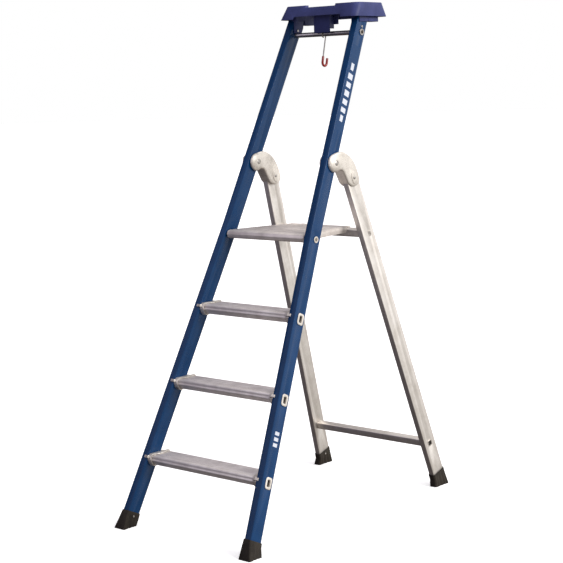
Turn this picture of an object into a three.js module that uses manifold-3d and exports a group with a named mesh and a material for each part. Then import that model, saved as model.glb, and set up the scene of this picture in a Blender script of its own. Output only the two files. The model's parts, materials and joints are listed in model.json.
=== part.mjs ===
// Platform step ladder: two leaning blue stiles with three treads, a hinged platform,
// two natural aluminium rear legs on cast knuckles, and a moulded tool tray with a hook.
// Millimetres, +Z up, +X across the ladder, -Y towards the person climbing it.
// The origin is on the floor, in the middle of the four feet.
import * as THREE from 'three';
import { mergeVertices } from 'three/addons/utils/BufferGeometryUtils.js';
import Module from 'manifold-3d';

const wasm = await Module();
wasm.setup();

// ---------------------------------------------------------------- driving dimensions
const rad = THREE.MathUtils.degToRad;
const GAP = 0.3;                       // play kept between touching pieces

const FRONT_LEAN = rad(25.33);         // stiles, back from the vertical
const REAR_LEAN = rad(18.56);          // rear legs, forward from the vertical
const BASE_DEPTH = 1074.5;             // floor line of the stile fronts to that of the leg backs
const FRONT_OVERHANG = 1.5;              // front feet in front of the stile fronts
const REAR_OVERHANG = 5;               // rear feet behind the leg backs
const TOE_Y = -(BASE_DEPTH + REAR_OVERHANG - FRONT_OVERHANG) / 2;
const HEEL_Y = TOE_Y + BASE_DEPTH;

const STILE = { thick: 25.6, deep: 51.2, wall: 2, round: 2.5, half: 281.5, taper: 0.0842,
  upperTaper: 0.0572 };
const LEG = { thick: 20.6, deep: 58.2, wall: 2, round: 2, half: 270.7, taper: 0.0754 };
const KINK_Z = 948;                    // height at which the stiles turn a little towards upright
const STILE_TOP_Z = 1640;
const FIXING_LINE = 37.3;              // horizontal distance of treads and knuckle pins behind the stile front
const TENON_LINE = 32;                 // the same distance for tenons, platform tubes and tray rivets
const BAR_LINE = 36;                   // and for the guard bar

const STEP = { first: 207, pitch: 235, count: 3 };
const PLATFORM = { pivotZ: 915.3, top: 17.8, rear: 257.5, front: -30, half: 164, rearHalf: 119, skirt: 3 };
const KNUCKLE_Z = 1150.5;
const BAR = { z: 1569.5, radius: 8, bore: 6, flange: 11 };
const FOLD = rad(42.5);                // how far the rear legs swing towards the stiles
const TRAY = { bottom: 1621, top: 1667, low: 1660, half: 165, topHalf: 157, front: 730, topFront: 757,
  back: 916, topBack: 901, wall: 3, corner: 24 };
const UPPER_BAR = { z: 910.5, y: -22.5, deep: 23, high: 25, tenonDeep: 11, tenonHigh: 19, hole: 3 };
const LOWER_BAR = { z: 159, y: -29.8, deep: 23, high: 25, tenonDeep: 21, tenonHigh: 21, hole: 1.6 };

// ---------------------------------------------------------------- finishes
const FINISH = {
  lacquer: [0x1b3f86, 0.35, 0.3],
  aluminium: [0xb9b7b6, 0.45, 0.85],
  casting: [0xc9c5bd, 0.5, 0.8],
  tray: [0x453f7e, 0.55, 0],
  rubber: [0x2a2623, 0.85, 0],
  steel: [0x8f8f92, 0.3, 1],
  red: [0xa5221b, 0.4, 0],
  nylon: [0xe8e4da, 0.6, 0],
};

// ---------------------------------------------------------------- solids
const toSolid = (geometry) => {
  const bare = geometry.clone();
  bare.deleteAttribute('normal');
  bare.deleteAttribute('uv');
  const merged = mergeVertices(bare, 1e-4);
  const vertProperties = new Float32Array(merged.attributes.position.array);
  const triVerts = new Uint32Array(merged.index.array);
  return new wasm.Manifold(new wasm.Mesh({ numProp: 3, vertProperties, triVerts }));
};

const toGeometry = (solid) => {
  const { vertProperties, triVerts } = solid.getMesh();
  const geometry = new THREE.BufferGeometry();
  geometry.setAttribute('position', new THREE.BufferAttribute(new Float32Array(vertProperties), 3));
  geometry.setIndex(new THREE.BufferAttribute(new Uint32Array(triVerts), 1));
  geometry.computeVertexNormals();
  return geometry;
};

const join = (...geometries) => toGeometry(geometries.map(toSolid).reduce((sum, next) => sum.add(next)));
const cut = (geometry, ...tools) => toGeometry(tools.map(toSolid).reduce((rest, tool) => rest.subtract(tool),
  toSolid(geometry)));
const overlap = (a, b) => toGeometry(toSolid(a).intersect(toSolid(b)));

// A mirror image across the ladder's middle plane, with its faces turned back outwards.
const mirrored = (geometry) => {
  const copy = geometry.index ? geometry.clone() : mergeVertices(geometry.clone());
  copy.applyMatrix4(new THREE.Matrix4().makeScale(-1, 1, 1));
  const index = copy.index.array.slice();
  for (let i = 0; i < index.length; i += 3) [index[i], index[i + 1]] = [index[i + 1], index[i]];
  copy.setIndex(new THREE.BufferAttribute(new Uint32Array(index), 1));
  copy.computeVertexNormals();
  return copy;
};

// ---------------------------------------------------------------- shapes
const polygon = (points) => new THREE.Shape(points.map(([u, v]) => new THREE.Vector2(u, v)));

const roundedBox = (width, height, radius, centre = [0, 0]) => {
  const [u, v] = [centre[0] - width / 2, centre[1] - height / 2];
  const shape = new THREE.Shape();
  shape.moveTo(u + radius, v);
  shape.lineTo(u + width - radius, v);
  shape.absarc(u + width - radius, v + radius, radius, -Math.PI / 2, 0);
  shape.lineTo(u + width, v + height - radius);
  shape.absarc(u + width - radius, v + height - radius, radius, 0, Math.PI / 2);
  shape.lineTo(u + radius, v + height);
  shape.absarc(u + radius, v + height - radius, radius, Math.PI / 2, Math.PI);
  shape.lineTo(u, v + radius);
  shape.absarc(u + radius, v + radius, radius, Math.PI, 1.5 * Math.PI);
  return shape;
};

const disc = (radius, centre = [0, 0]) => new THREE.Shape().absarc(centre[0], centre[1], radius, 0, 2 * Math.PI);

// Extrusions: a (y, z) outline along X, an (x, y) outline along Z, an (x, z) outline along Y.
const basis = (...columns) => new THREE.Matrix4().makeBasis(...columns.map((c) => new THREE.Vector3(...c)));
const AXES = {
  x: basis([0, 1, 0], [0, 0, 1], [1, 0, 0]),
  y: basis([1, 0, 0], [0, 0, 1], [0, -1, 0]),
  z: basis([1, 0, 0], [0, 1, 0], [0, 0, 1]),
};
const extrude = (axis, shape, from, to, options = {}) => {
  const settings = { depth: to - from, bevelEnabled: false, steps: 1, curveSegments: 2, ...options };
  const geometry = new THREE.ExtrudeGeometry(shape, settings);
  geometry.translate(0, 0, axis === 'y' ? -to : from);
  return geometry.applyMatrix4(AXES[axis]);
};
const cylinderX = (radius, from, to, y = 0, z = 0, segments = 6) =>
  extrude('x', disc(radius, [y, z]), from, to, { curveSegments: segments });

const boxAt = ([x0, x1], [y0, y1], [z0, z1]) => extrude('z',
  polygon([[x0, y0], [x1, y0], [x1, y1], [x0, y1]]), z0, z1);

// A turned piece on the X axis: a profile of [radius, x] pairs that ends on the axis or closes on itself.
const turnedX = (profile, segments = 20) => {
  const points = profile.map(([radius, x]) => new THREE.Vector2(radius, x));
  return new THREE.LatheGeometry(points, segments).rotateZ(-Math.PI / 2);
};

// A solid through a stack of outlines with equal point counts, each a list of [x, y, z].
const loft = (rings) => {
  const count = rings[0].length;
  const flat = (ring) => ring.map(([x, y]) => new THREE.Vector2(x, y));
  const index = [];
  for (let r = 0; r + 1 < rings.length; r += 1) {
    for (let i = 0; i < count; i += 1) {
      const [a, b] = [r * count + i, r * count + ((i + 1) % count)];
      index.push(a, b, b + count, a, b + count, a + count);
    }
  }
  const last = (rings.length - 1) * count;
  for (const [a, b, c] of THREE.ShapeUtils.triangulateShape(flat(rings[0]), [])) index.push(c, b, a);
  for (const [a, b, c] of THREE.ShapeUtils.triangulateShape(flat(rings.at(-1)), [])) {
    index.push(last + a, last + b, last + c);
  }
  const geometry = new THREE.BufferGeometry();
  geometry.setAttribute('position', new THREE.Float32BufferAttribute(rings.flat(2), 3));
  geometry.setIndex(index);
  return geometry;
};

const ringAt = (shape, height, segments = 2) => {
  const points = shape.getPoints(segments).map(({ x, y }) => [x, y]);
  const [first, final] = [points[0], points.at(-1)];
  if (Math.hypot(first[0] - final[0], first[1] - final[1]) < 1e-6) points.pop();
  return points.filter(([x, y], i) => {
    const [px, py] = points[(i + points.length - 1) % points.length];
    return Math.hypot(x - px, y - py) > 1e-6;
  }).map(([x, y]) => [x, y, typeof height === 'function' ? height(x, y) : height]);
};

// ---------------------------------------------------------------- scene graph
const ladder = new THREE.Group();
const frontFrame = new THREE.Group();    // y runs into the stile from its front face, z along the stile
frontFrame.position.set(0, TOE_Y, 0);
frontFrame.rotation.x = -FRONT_LEAN;
const rearFrame = new THREE.Group();     // y = 0 is the back face of the legs, z runs along them
rearFrame.position.set(0, HEEL_Y, 0);
rearFrame.rotation.x = REAR_LEAN;
ladder.add(frontFrame, rearFrame);
ladder.updateMatrixWorld(true);

const piece = (parent, name, finish, geometry) => {
  const [color, roughness, metalness] = FINISH[finish];
  const mesh = new THREE.Mesh(geometry, new THREE.MeshStandardMaterial({ color, roughness, metalness }));
  mesh.name = name;
  parent.add(mesh);
  return mesh;
};
const pair = (parent, name, finish, rightGeometry) => {
  piece(parent, `${name}_right`, finish, rightGeometry);
  piece(parent, `${name}_left`, finish, mirrored(rightGeometry));
};
const levelGroup = (y, z) => {
  const group = new THREE.Group();
  group.position.set(0, y, z);
  ladder.add(group);
  group.updateMatrixWorld(true);
  return group;
};
// Geometry drawn in one group, seen from another group.
const seenFrom = (target, source, geometry) => geometry.clone()
  .applyMatrix4(target.matrixWorld.clone().invert().multiply(source.matrixWorld));

// ---------------------------------------------------------------- stiles and legs as plain bars
const frontY = (z) => TOE_Y + z * Math.tan(FRONT_LEAN);
const fixingY = (z, behind = FIXING_LINE) => frontY(z) + behind;
const alongStile = (z, behind = FIXING_LINE) => z / Math.cos(FRONT_LEAN) + behind * Math.sin(FRONT_LEAN);
const depthOf = (behind) => behind * Math.cos(FRONT_LEAN);
const KINK = alongStile(KINK_Z);

const stileOuter = (s) => STILE.half - STILE.taper * Math.min(s, KINK) - STILE.upperTaper * Math.max(s - KINK, 0);
const legOuter = (s) => LEG.half - LEG.taper * s;

const barSection = (bar, outerX, back, inset) => roundedBox(bar.thick - 2 * inset, bar.deep - 2 * inset,
  Math.max(bar.round - inset, 1), [outerX - bar.thick / 2, back ? -bar.deep / 2 : bar.deep / 2]);
const cornerSteps = (inset) => (inset > 0 ? 1 : 2);
const stileBar = (inset, from, to) => loft([from, KINK, to].map(
  (s) => ringAt(barSection(STILE, stileOuter(s), false, inset), s, cornerSteps(inset))));
const legBar = (inset, from, to) => loft([from, to].map(
  (s) => ringAt(barSection(LEG, legOuter(s), true, inset), s, cornerSteps(inset))));

// A frame on the outer face of the right stile: x outwards, y into the depth, z up the stile.
const onStile = (z, behind = FIXING_LINE) => {
  const s = alongStile(z, behind);
  const cant = Math.atan(s < KINK ? STILE.taper : STILE.upperTaper);
  return new THREE.Matrix4().makeTranslation(stileOuter(s), depthOf(behind), s)
    .multiply(new THREE.Matrix4().makeRotationY(-cant));
};
const onLeg = (s, y) => new THREE.Matrix4().makeTranslation(legOuter(s), y, s)
  .multiply(new THREE.Matrix4().makeRotationY(-Math.atan(LEG.taper)));

// Each foot is held by one blind rivet on its inner side; these place it on the sleeve's surface.
const SLEEVE = 3.2;
const innerSide = (outerX, taper, bar, y, s) => new THREE.Matrix4()
  .makeTranslation(outerX - bar.thick - SLEEVE, y, s)
  .multiply(new THREE.Matrix4().makeRotationY(Math.PI - Math.atan(taper)));
const FOOT_RIVET = { radius: 1.8, s: 50 };
const stileRivet = innerSide(stileOuter(FOOT_RIVET.s), STILE.taper, STILE, STILE.deep / 2, FOOT_RIVET.s);
const legRivet = innerSide(legOuter(FOOT_RIVET.s), LEG.taper, LEG, -LEG.deep / 2, FOOT_RIVET.s);
const rivetHole = (place) => cylinderX(FOOT_RIVET.radius + GAP, -12, 8).applyMatrix4(place);

// ---------------------------------------------------------------- stiles
const TENON = { deep: 21, high: 29, round: 5, rimDeep: 29, rimHigh: 37, boreDeep: 14, boreHigh: 22 };
const PIVOT_TUBE = { bore: 6, radius: 8, inner: 10, flange: 10.5 };
const PIN_RADIUS = 5;
const STILE_FOOT = 34;                  // stile end, inside its rubber foot
const TRAY_RIVET = { z: 1587, radius: 2.5 };
const stepHeights = Array.from({ length: STEP.count }, (_, i) => STEP.first + i * STEP.pitch);

const makeStile = () => {
  const top = alongStile(STILE_TOP_Z, 0);
  const through = (z, radius, line) => cylinderX(radius + GAP, 100, 260, depthOf(line), alongStile(z, line));
  const socketShape = roundedBox(TENON.deep + 2 * GAP, TENON.high + 2 * GAP, TENON.round);
  const sockets = stepHeights.map((z) => extrude('x', socketShape, -60, 30, { curveSegments: 1 })
    .applyMatrix4(onStile(z, TENON_LINE)));
  const trayHole = cylinderX(TRAY_RIVET.radius + GAP, -60, 30).applyMatrix4(onStile(TRAY_RIVET.z, TENON_LINE));
  return cut(stileBar(0, STILE_FOOT, top), stileBar(STILE.wall, STILE_FOOT - 5, top + 5), ...sockets,
    through(PLATFORM.pivotZ, PIVOT_TUBE.radius, TENON_LINE), through(KNUCKLE_Z, PIN_RADIUS, FIXING_LINE),
    through(BAR.z, BAR.radius, BAR_LINE), trayHole, rivetHole(stileRivet));
};
pair(frontFrame, 'stile', 'lacquer', makeStile());

// ---------------------------------------------------------------- treads and their cast ends
const TREAD = { top: 19.2, rib: 1.2, ribPitch: 6.4, rear: 55.5, flangeBottom: -4 };

// Outline of the extruded tread about its tenon centre: two-ridged nose, ribbed top, rear flange.
const treadShape = () => {
  const shape = new THREE.Shape();
  shape.moveTo(-12.7, -12.9);
  shape.lineTo(-16.5, -11);
  shape.lineTo(-23, 0.5);
  shape.absarc(-23.4, 4.6, 4.1, -1.75, -4.3, true);
  shape.absarc(-20.6, 14.4, 4.9, -2.7, -4.7, true);
  for (let y = -15; y < TREAD.rear - 4; y += TREAD.ribPitch) {
    shape.lineTo(y, TREAD.top);
    shape.lineTo(y + 0.8, TREAD.top + TREAD.rib);
    shape.lineTo(y + 3.4, TREAD.top + TREAD.rib);
    shape.lineTo(y + 4.2, TREAD.top);
  }
  shape.lineTo(TREAD.rear, TREAD.top);
  shape.lineTo(TREAD.rear, TREAD.flangeBottom);
  shape.lineTo(TREAD.rear - 3, TREAD.flangeBottom);
  shape.lineTo(TREAD.rear - 3, TREAD.top - 3);
  shape.lineTo(-16, TREAD.top - 3);
  shape.lineTo(-19, 8);
  shape.lineTo(-19, 3);
  shape.lineTo(-11, -9.5);
  return shape;
};

// Boat-shaped outline of the cast end, which stands a little proud of the tread all round.
const boatShape = (rear) => {
  const shape = new THREE.Shape();
  shape.moveTo(-8, -17.5);
  shape.lineTo(-17, -17);
  shape.quadraticCurveTo(-27, -8, -30.5, 6);
  shape.quadraticCurveTo(-31, 19, -21, 23.6);
  shape.lineTo(rear - 3, 23.6);
  shape.lineTo(rear, 20.5);
  shape.lineTo(rear, 8);
  shape.quadraticCurveTo(30, -14, -8, -17.5);
  return shape;
};
const treadRoom = () => polygon([[-12, -14], [-18.5, -13], [-25, -1], [-28.4, 5], [-26.4, 15.5], [-21, 20.9],
  [TREAD.rear + GAP, 20.9], [TREAD.rear + GAP, TREAD.flangeBottom - GAP], [28, -8]]);

// Crescent lip of the casting over the tread's end, with three small slots in it.
const crescent = (inner) => {
  const shape = new THREE.Shape();
  shape.moveTo(inner + 8, -22);
  shape.lineTo(inner, -22);
  shape.quadraticCurveTo(inner - 26, 8, inner - 2, TREAD.rear + 2);
  shape.lineTo(inner + 8, TREAD.rear + 2);
  const lip = extrude('z', shape, 20.9, 23.6);
  const slots = [-8, 6, 20].map((y) => boxAt([inner - 7.2, inner - 4.8], [y - 3, y + 3], [20, 25]));
  return cut(lip, ...slots);
};

const stepGroup = (z) => levelGroup(fixingY(z), z);

const makeStepEnd = (group, z) => {
  const inner = stileOuter(alongStile(z)) - STILE.thick;
  const cheek = extrude('x', boatShape(44), inner - 6, inner + 4);
  const collar = cut(extrude('x', boatShape(TREAD.rear + 2.5), inner - 16, inner - 6 + 0.01),
    extrude('x', treadRoom(), inner - 17, inner - 6));
  const finger = extrude('x', roundedBox(4.2, 9, 1.5, [-2.4, 0]), inner - 6, inner + 10, { curveSegments: 1 });
  const root = extrude('x', roundedBox(16, 9, 1.5, [3.4, 0]), inner - 6, inner - 1, { curveSegments: 1 });
  const wrap = seenFrom(group, frontFrame, join(finger, root).translate(0, 0, alongStile(z + 15, 0)));
  const blank = join(cheek, collar, crescent(inner - 14), wrap);
  const block = cut(blank, seenFrom(group, frontFrame, stileBar(-GAP, STILE_FOOT, alongStile(STILE_TOP_Z))));
  const shankShape = roundedBox(TENON.deep, TENON.high, TENON.round);
  const shank = extrude('x', shankShape, -STILE.thick - 4, 2.5, { curveSegments: 1 });
  const rim = extrude('x', roundedBox(TENON.rimDeep, TENON.rimHigh, 8), GAP, 2.5);
  const bore = extrude('x', roundedBox(TENON.boreDeep, TENON.boreHigh, 4), -STILE.thick + 2, 4);
  const flaredTenon = cut(join(shank, rim), bore).applyMatrix4(onStile(z, TENON_LINE));
  const tenon = seenFrom(group, frontFrame, flaredTenon);
  return join(block, tenon);
};

stepHeights.forEach((z, i) => {
  const group = stepGroup(z);
  const half = stileOuter(alongStile(z)) - STILE.thick - 6 - GAP;
  piece(group, `step_${i + 1}_tread`, 'aluminium', extrude('x', treadShape(), -half, half, { curveSegments: 3 }));
  pair(group, `step_${i + 1}_end`, 'casting', makeStepEnd(group, z));
});

// ---------------------------------------------------------------- rubber feet
// Fluted outline: a rounded box whose two long sides carry shallow upright grooves.
const flutedRing = (width, depth, centre, groove, lift) => {
  const [halfW, halfD] = [width / 2, depth / 2];
  const steps = 16;
  const side = (sign) => Array.from({ length: steps + 1 }, (_, i) => {
    const t = -1 + (2 * i) / steps;
    const round = Math.max(Math.abs(t) - 0.86, 0) / 0.14;
    const dip = groove * (0.5 - 0.5 * Math.cos((t + 1) * 4 * Math.PI)) * (Math.abs(t) < 0.75 ? 1 : 0);
    return [sign * (halfW - dip - 4 * round * round), sign * t * halfD];
  });
  return [...side(1), ...side(-1)].map(([x, y]) => [centre[0] + x, centre[1] + y])
    .map(([x, y]) => [x, y, lift(x, y)]);
};

const FRONT_FOOT = { top: 64, waist: 48, base: 49, baseX: 270.5, baseDepth: 58.5 };
const REAR_FOOT = { top: 64, waist: 44, base: 29.5, baseX: 260.7, baseDepth: 81 };

const makeFrontFoot = () => {
  const wide = STILE.thick + 2 * SLEEVE;
  const deep = STILE.deep + 2 * SLEEVE;
  const sole = flutedRing(FRONT_FOOT.base, FRONT_FOOT.baseDepth * Math.cos(FRONT_LEAN),
    [FRONT_FOOT.baseX, (FRONT_FOOT.baseDepth / 2 - FRONT_OVERHANG) * Math.cos(FRONT_LEAN)], 3.4,
    (x, y) => y * Math.tan(FRONT_LEAN));
  const ring = (s, grow, groove) => flutedRing(wide + grow, deep + grow,
    [stileOuter(s) - STILE.thick / 2, STILE.deep / 2], groove, () => s);
  const body = loft([sole, ring(FRONT_FOOT.waist, 2, 2), ring(FRONT_FOOT.top, 0, 0.2)]);
  return cut(body, stileBar(-GAP, STILE_FOOT - GAP, alongStile(STILE_TOP_Z)), rivetHole(stileRivet));
};
pair(frontFrame, 'front_foot', 'rubber', makeFrontFoot());

const LEG_FOOT = 28;                    // leg end, inside its rubber foot
const LEG_TOP = (KNUCKLE_Z - 25) / Math.cos(REAR_LEAN);

const makeRearFoot = () => {
  const wide = LEG.thick + 2 * SLEEVE;
  const deep = LEG.deep + 2 * SLEEVE;
  const sole = flutedRing(REAR_FOOT.base, REAR_FOOT.baseDepth * Math.cos(REAR_LEAN),
    [REAR_FOOT.baseX, (REAR_OVERHANG - REAR_FOOT.baseDepth / 2) * Math.cos(REAR_LEAN)], 2.4,
    (x, y) => -y * Math.tan(REAR_LEAN));
  const ring = (s, groove) => flutedRing(wide, deep, [legOuter(s) - LEG.thick / 2, -LEG.deep / 2], groove,
    () => s);
  const body = loft([sole, ring(REAR_FOOT.waist, 1.4), ring(REAR_FOOT.top, 0.2)]);
  return cut(body, legBar(-GAP, LEG_FOOT - GAP, LEG_TOP), rivetHole(legRivet));
};
pair(rearFrame, 'rear_foot', 'rubber', makeRearFoot());

const footRivet = (place, seat) => turnedX([[0, -5.6], [FOOT_RIVET.radius, -5.6], [FOOT_RIVET.radius, seat],
  [3.6, seat], [3.2, seat + 1], [0, seat + 1.6]], 10).applyMatrix4(place);
pair(frontFrame, 'front_foot_rivet', 'steel', footRivet(stileRivet, 1.6));
pair(rearFrame, 'rear_foot_rivet', 'steel', footRivet(legRivet, GAP));

// ---------------------------------------------------------------- rear frame
const legStation = (z, y) => (z - y * Math.sin(REAR_LEAN)) / Math.cos(REAR_LEAN);
const tenonSection = ({ tenonDeep, tenonHigh, y, z }, inset) => roundedBox(tenonDeep - 2 * inset,
  tenonHigh - 2 * inset, 2, [y, legStation(z, y)]);

const makeCrossbar = (place) => {
  const { deep, high, y, z, hole } = place;
  const s = legStation(z, y);
  const reach = legOuter(s) + 1.2;
  const insideLeg = legOuter(s) - LEG.thick / 2;
  const leg = legBar(-GAP, LEG_FOOT, LEG_TOP);
  const tube = cut(extrude('x', roundedBox(deep, high, 2, [y, s]), -insideLeg, insideLeg), leg, mirrored(leg));
  const tenon = extrude('x', tenonSection(place, 0), -reach, reach);
  return cut(join(tube, tenon), extrude('x', tenonSection(place, hole), -reach - 5, reach + 5));
};
piece(rearFrame, 'upper_crossbar', 'aluminium', makeCrossbar(UPPER_BAR));
piece(rearFrame, 'lower_crossbar', 'aluminium', makeCrossbar(LOWER_BAR));

// ---------------------------------------------------------------- cast knuckles
const pivot = levelGroup(fixingY(KNUCKLE_Z), KNUCKLE_Z);
const STILE_FACE = stileOuter(alongStile(KNUCKLE_Z));
const KNUCKLE_MID = STILE_FACE - STILE.thick / 2;
const CHEEK = { slot: 16.2, face: 21.2, dome: 28.8, boss: 30.5, recess: 9, floor: 26.4 };
const SOCKET_MID = KNUCKLE_MID + 2.8;   // the leg's socket stands a little further out than the boss
const LEG_RIVET = { y: 93.5, z: -52, radius: 3, head: 5.5, pad: 1.8 };

// Side outline about the pivot: round boss, swan neck and a rounded socket around the leg's top.
const knuckleShape = () => {
  const shape = new THREE.Shape();
  shape.moveTo(15, -26.5);
  shape.absarc(0, 0, CHEEK.boss, -1.056, -4.712, true);
  shape.splineThru([[28, 35.5], [58, 30], [85, 13.5], [104, -8], [115, -28], [124, -51], [124, -66], [112, -78.5],
    [96, -82], [80, -79], [66, -69]].map(([y, z]) => new THREE.Vector2(y, z)));
  shape.lineTo(42, -30);
  shape.quadraticCurveTo(37, -22.5, 22, -24);
  return shape;
};

// Room that the stile sweeps between the cheeks while the rear frame folds up to it.
const sweepShape = () => {
  const behind = STILE.deep - depthOf(FIXING_LINE) + 1.2;
  const folded = FOLD - FRONT_LEAN;
  const corner = behind / Math.cos(FOLD / 2);
  const apex = [corner * Math.cos(FOLD / 2 - FRONT_LEAN), corner * Math.sin(FOLD / 2 - FRONT_LEAN)];
  const down = [apex[0] + 160 * Math.sin(folded), apex[1] - 160 * Math.cos(folded)];
  const up = [apex[0] + 120 * Math.sin(FRONT_LEAN), apex[1] + 120 * Math.cos(FRONT_LEAN)];
  return polygon([[-70, down[1]], down, apex, up, [-70, up[1]]]);
};

const tilted = (geometry, { y, z }) => geometry.rotateX(REAR_LEAN).translate(0, y, z);

const makeKnuckle = () => {
  const round = { bevelEnabled: true, bevelSize: 6, bevelThickness: 6, bevelOffset: -6, bevelSegments: 2 };
  const body = extrude('x', knuckleShape(), -CHEEK.face + 6, CHEEK.face - 6, { ...round, curveSegments: 2 })
    .translate(SOCKET_MID, 0, 0);
  const dome = turnedX([[0, -CHEEK.floor], [CHEEK.recess, -CHEEK.floor], [CHEEK.recess, -CHEEK.dome + 0.3],
    [16, -CHEEK.dome + 1.2], [24, -24.5], [28.6, -20.5], [CHEEK.boss, -14], [CHEEK.boss, 14], [28.6, 20.5],
    [24, 24.5], [16, CHEEK.dome - 1.2], [CHEEK.recess, CHEEK.dome - 0.3], [CHEEK.recess, CHEEK.floor],
    [0, CHEEK.floor]], 16).translate(KNUCKLE_MID, 0, 0);
  const padShape = new THREE.Shape().absellipse(0, 0, 12, 23, 0, 2 * Math.PI);
  const pad = tilted(extrude('x', padShape, -CHEEK.face - LEG_RIVET.pad, CHEEK.face + LEG_RIVET.pad,
    { curveSegments: 8 }), LEG_RIVET).translate(SOCKET_MID, 0, 0);
  const blank = join(body, dome, pad);
  const slot = extrude('x', sweepShape(), KNUCKLE_MID - CHEEK.slot, KNUCKLE_MID + CHEEK.slot);
  const socket = seenFrom(pivot, rearFrame, legBar(-GAP, LEG_FOOT, LEG_TOP + GAP));
  return cut(blank, slot, socket, cylinderX(PIN_RADIUS + GAP, 100, 230),
    cylinderX(LEG_RIVET.radius + GAP, 100, 230, LEG_RIVET.y, LEG_RIVET.z));
};
pair(pivot, 'knuckle', 'casting', makeKnuckle());

const headedPin = (radius, head, reach, grip) => turnedX([[0, -reach], [head * 0.7, -reach],
  [head, -grip - 0.8], [head, -grip], [radius, -grip], [radius, grip], [head, grip], [head, grip + 0.8],
  [head * 0.7, reach], [0, reach]], 12);
pair(pivot, 'knuckle_pin', 'steel',
  headedPin(PIN_RADIUS, 8, CHEEK.dome, CHEEK.floor + GAP).translate(KNUCKLE_MID, 0, 0));
const padFace = CHEEK.face + LEG_RIVET.pad;
pair(pivot, 'leg_rivet', 'steel', headedPin(LEG_RIVET.radius, LEG_RIVET.head, padFace + 2.4, padFace + GAP)
  .translate(SOCKET_MID, LEG_RIVET.y, LEG_RIVET.z));

// Slip washers between the stile and the two cheeks.
const WASHER = { bore: PIN_RADIUS + GAP, radius: 12 };
const washer = (from, to) => turnedX([[WASHER.bore, from], [WASHER.radius, from], [WASHER.radius, to],
  [WASHER.bore, to], [WASHER.bore, from]], 12);
const faceSlope = WASHER.radius * STILE.upperTaper + GAP;
pair(pivot, 'pivot_washer_outer', 'nylon', washer(STILE_FACE + faceSlope, KNUCKLE_MID + CHEEK.slot - GAP));
pair(pivot, 'pivot_washer_inner', 'nylon',
  washer(KNUCKLE_MID - CHEEK.slot + GAP, STILE_FACE - STILE.thick - faceSlope));

const makeLeg = () => {
  const sockets = [UPPER_BAR, LOWER_BAR].map((place) => extrude('x', tenonSection(place, -GAP), 100, 300));
  const rivet = seenFrom(rearFrame, pivot, cylinderX(LEG_RIVET.radius + GAP, 100, 230, LEG_RIVET.y, LEG_RIVET.z));
  return cut(legBar(0, LEG_FOOT, LEG_TOP), legBar(LEG.wall, LEG_FOOT - 5, LEG_TOP + 5), ...sockets, rivet,
    rivetHole(legRivet));
};
pair(rearFrame, 'rear_leg', 'aluminium', makeLeg());

// ---------------------------------------------------------------- platform
const platform = levelGroup(fixingY(PLATFORM.pivotZ), PLATFORM.pivotZ);
const DECK = { front: -8, shoulder: 14, thick: 3, rib: 1, ribPitch: 9.6 };
const NOSE = { back: -16, low: -10.2, mid: 4, wall: 3 };
const SIDE = { end: 252, low: -12.5, edge: -3.6 };
const TUBE_Y = TENON_LINE - FIXING_LINE;   // the platform's tubes, in front of its group's origin

const planOutline = () => {
  const { half, rearHalf, rear } = PLATFORM;
  return polygon([[-half, DECK.front], [half, DECK.front], [half, DECK.shoulder], [rearHalf, rear],
    [-rearHalf, rear], [-half, DECK.shoulder]]);
};
const makeDeck = () => {
  const points = [[DECK.front - 1, PLATFORM.top - DECK.thick], [PLATFORM.rear + 1, PLATFORM.top - DECK.thick]];
  const face = PLATFORM.top - DECK.rib;
  points.push([PLATFORM.rear + 1, face]);
  for (let y = PLATFORM.rear - 4; y > DECK.front + 4; y -= DECK.ribPitch) {
    points.push([y, face], [y - 0.8, PLATFORM.top], [y - 5, PLATFORM.top], [y - 5.8, face]);
  }
  points.push([DECK.front - 1, face]);
  return overlap(extrude('x', polygon(points), -PLATFORM.half - 2, PLATFORM.half + 2),
    extrude('z', planOutline(), 0, PLATFORM.top + 5));
};
piece(platform, 'platform_deck', 'aluminium', makeDeck());

// The bull nose runs from the top forwards and round to its lower edge.
const noseCurve = (shape) => {
  const tip = PLATFORM.front;
  shape.bezierCurveTo(tip + 5, PLATFORM.top, tip, 12, tip, NOSE.mid);
  shape.bezierCurveTo(tip, -4, tip + 5, NOSE.low, NOSE.back, NOSE.low);
};
const makeNose = () => {
  const shape = new THREE.Shape();
  const joint = DECK.front - GAP;
  const [tip, top, low] = [PLATFORM.front + NOSE.wall, PLATFORM.top - NOSE.wall, NOSE.low + NOSE.wall];
  shape.moveTo(joint, PLATFORM.top);
  shape.lineTo(NOSE.back, PLATFORM.top);
  noseCurve(shape);
  shape.lineTo(joint, NOSE.low);
  shape.lineTo(joint, low);
  shape.lineTo(NOSE.back, low);
  shape.bezierCurveTo(tip + 3, low, tip, low + 4.2, tip, NOSE.mid);
  shape.bezierCurveTo(tip, top - 3.8, tip + 3, top, NOSE.back, top);
  shape.lineTo(joint, top);
  const reach = PLATFORM.half - PLATFORM.skirt - GAP;
  const relief = cylinderX(PIVOT_TUBE.inner + 2 * GAP, reach - 3, reach + 3, TUBE_Y);
  return cut(extrude('x', shape, -reach, reach), relief, mirrored(relief));
};
piece(platform, 'platform_nose', 'aluminium', makeNose());

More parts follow.
